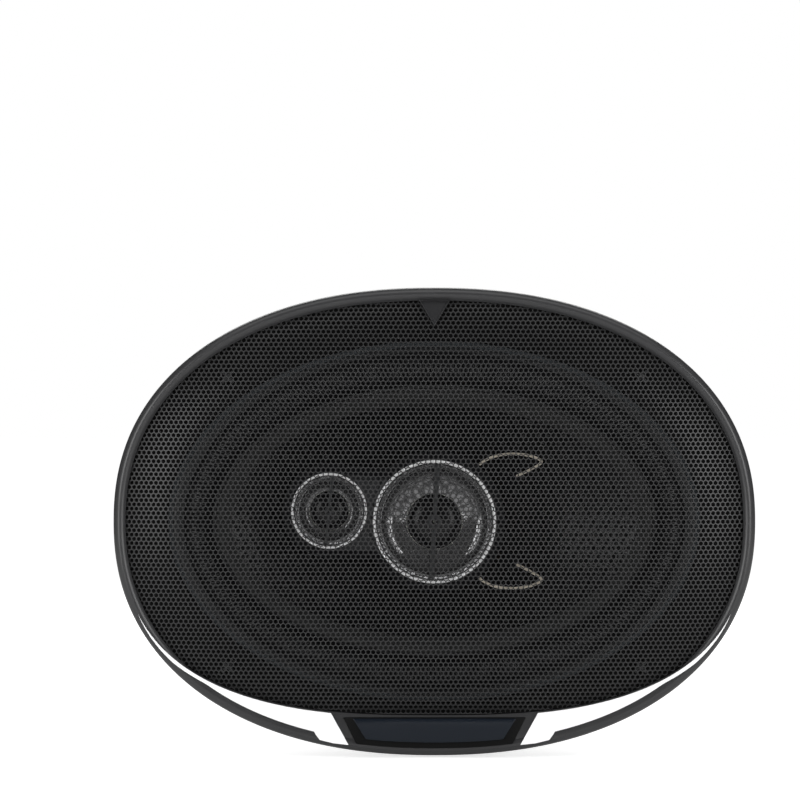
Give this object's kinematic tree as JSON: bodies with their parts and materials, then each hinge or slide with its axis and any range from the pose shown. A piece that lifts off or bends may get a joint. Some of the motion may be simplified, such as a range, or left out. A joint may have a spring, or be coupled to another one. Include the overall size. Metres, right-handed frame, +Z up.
{
  "type": "coaxial car speaker",
  "caption": "Oval three-way coaxial car speaker with a dimpled cone, a twin tweeter pod on a post and a domed hex-mesh grille that lifts off.",
  "frame": {"origin": "on the speaker's axis, in the mounting plane, which is the rear face of the flange", "axes": "+X along the oval's long side, +Z up along its short side, and -Y out of the front of the speaker; the motor is at +Y"},
  "size_m": [0.2706, 0.0994, 0.1972],
  "materials": {
    "charcoal_paint": "satin charcoal paint on pressed steel",
    "gasket_black": "satin black moulded trim ring",
    "surround_rubber": "pleated black surround with a soft sheen",
    "spider_cloth": "resin-stiffened woven cloth",
    "zinc_steel": "zinc-plated steel",
    "ferrite": "dull sintered ferrite",
    "pod_plastic": "ribbed black moulding",
    "waist_grey": "flat grey moulding",
    "gloss_black": "polished black horn",
    "bright_silver": "bright turned ring",
    "bridge_plastic": "grey moulding",
    "cone_poly": "dimpled black polypropylene",
    "kapton": "amber film",
    "copper_wire": "enamelled copper winding",
    "dome_film": "dark film dome",
    "black_glue": "black cement",
    "lead_braid": "pale braided tinsel lead",
    "fibre_board": "brown fibre board",
    "tinned_brass": "stamped brass",
    "capacitor_sleeve": "shrink sleeve",
    "grille_plastic": "satin black moulding",
    "mesh_steel": "black-coated perforated steel",
    "accent_silver": "bright silver trim",
    "badge_gloss": "blank gloss plaque"
  },
  "bodies": {
    "speaker": {"basket": "charcoal_paint", "gasket_ring": "gasket_black", "surround": "surround_rubber", "spider": "spider_cloth", "front_plate": "zinc_steel", "ferrite_magnet": "ferrite", "back_plate_and_pole": "zinc_steel", "motor_rivet_1": "zinc_steel", "motor_rivet_2": "zinc_steel", "motor_rivet_3": "zinc_steel", "motor_rivet_4": "zinc_steel", "pod_post": "zinc_steel", "post_bolt": "zinc_steel", "pod_housing": "pod_plastic", "waist_plate": "waist_grey", "mid_magnet": "zinc_steel", "mid_horn": "gloss_black", "mid_ring": "bright_silver", "mid_bridge": "bridge_plastic", "tweeter_magnet": "zinc_steel", "tweeter_horn": "gloss_black", "tweeter_ring": "bright_silver", "tweeter_bridge": "bridge_plastic", "front_lead_upper": "lead_braid", "front_lead_lower": "lead_braid", "rear_lead_upper": "lead_braid", "rear_lead_lower": "lead_braid", "terminal_board": "fibre_board", "terminal_positive": "tinned_brass", "terminal_negative": "tinned_brass", "crossover_capacitor": "capacitor_sleeve"},
    "cone_assembly": {"cone": "cone_poly", "voice_coil_former": "kapton", "voice_coil": "copper_wire", "eyelet_upper": "black_glue", "eyelet_lower": "black_glue"},
    "mid_diaphragm": {"mid_dome": "dome_film", "mid_voice_coil": "copper_wire"},
    "tweeter_diaphragm": {"tweeter_dome": "dome_film", "tweeter_voice_coil": "copper_wire"},
    "grille": {"grille_frame": "grille_plastic", "grille_base": "grille_plastic", "grille_mesh": "mesh_steel", "accent_left": "accent_silver", "accent_right": "accent_silver", "badge_bezel": "grille_plastic", "badge_plaque": "badge_gloss", "triangle_mark": "grille_plastic", "grille_post_1": "grille_plastic", "grille_post_2": "grille_plastic", "grille_post_3": "grille_plastic", "grille_post_4": "grille_plastic", "grille_arm_left": "grille_plastic", "grille_arm_right": "grille_plastic"}
  },
  "joints": [
    {"name": "cone_stroke", "type": "slide", "parent": "speaker", "child": "cone_assembly", "axis": [0, -1, 0], "range_m": [-0.004, 0.004], "stiffness_N_per_m": 1600, "deforming": ["surround", "spider", "front_lead_upper", "front_lead_lower", "rear_lead_upper", "rear_lead_lower"]},
    {"name": "mid_stroke", "type": "slide", "parent": "speaker", "child": "mid_diaphragm", "axis": [0, -1, 0], "range_m": [-0.0003, 0.0003], "stiffness_N_per_m": 900},
    {"name": "tweeter_stroke", "type": "slide", "parent": "speaker", "child": "tweeter_diaphragm", "axis": [0, -1, 0], "range_m": [-0.0002, 0.0002], "stiffness_N_per_m": 900},
    {"name": "grille_off", "type": "slide", "parent": "speaker", "child": "grille", "axis": [0, -0.6, 0.8], "range_m": [0, 0.235]}
  ]
}
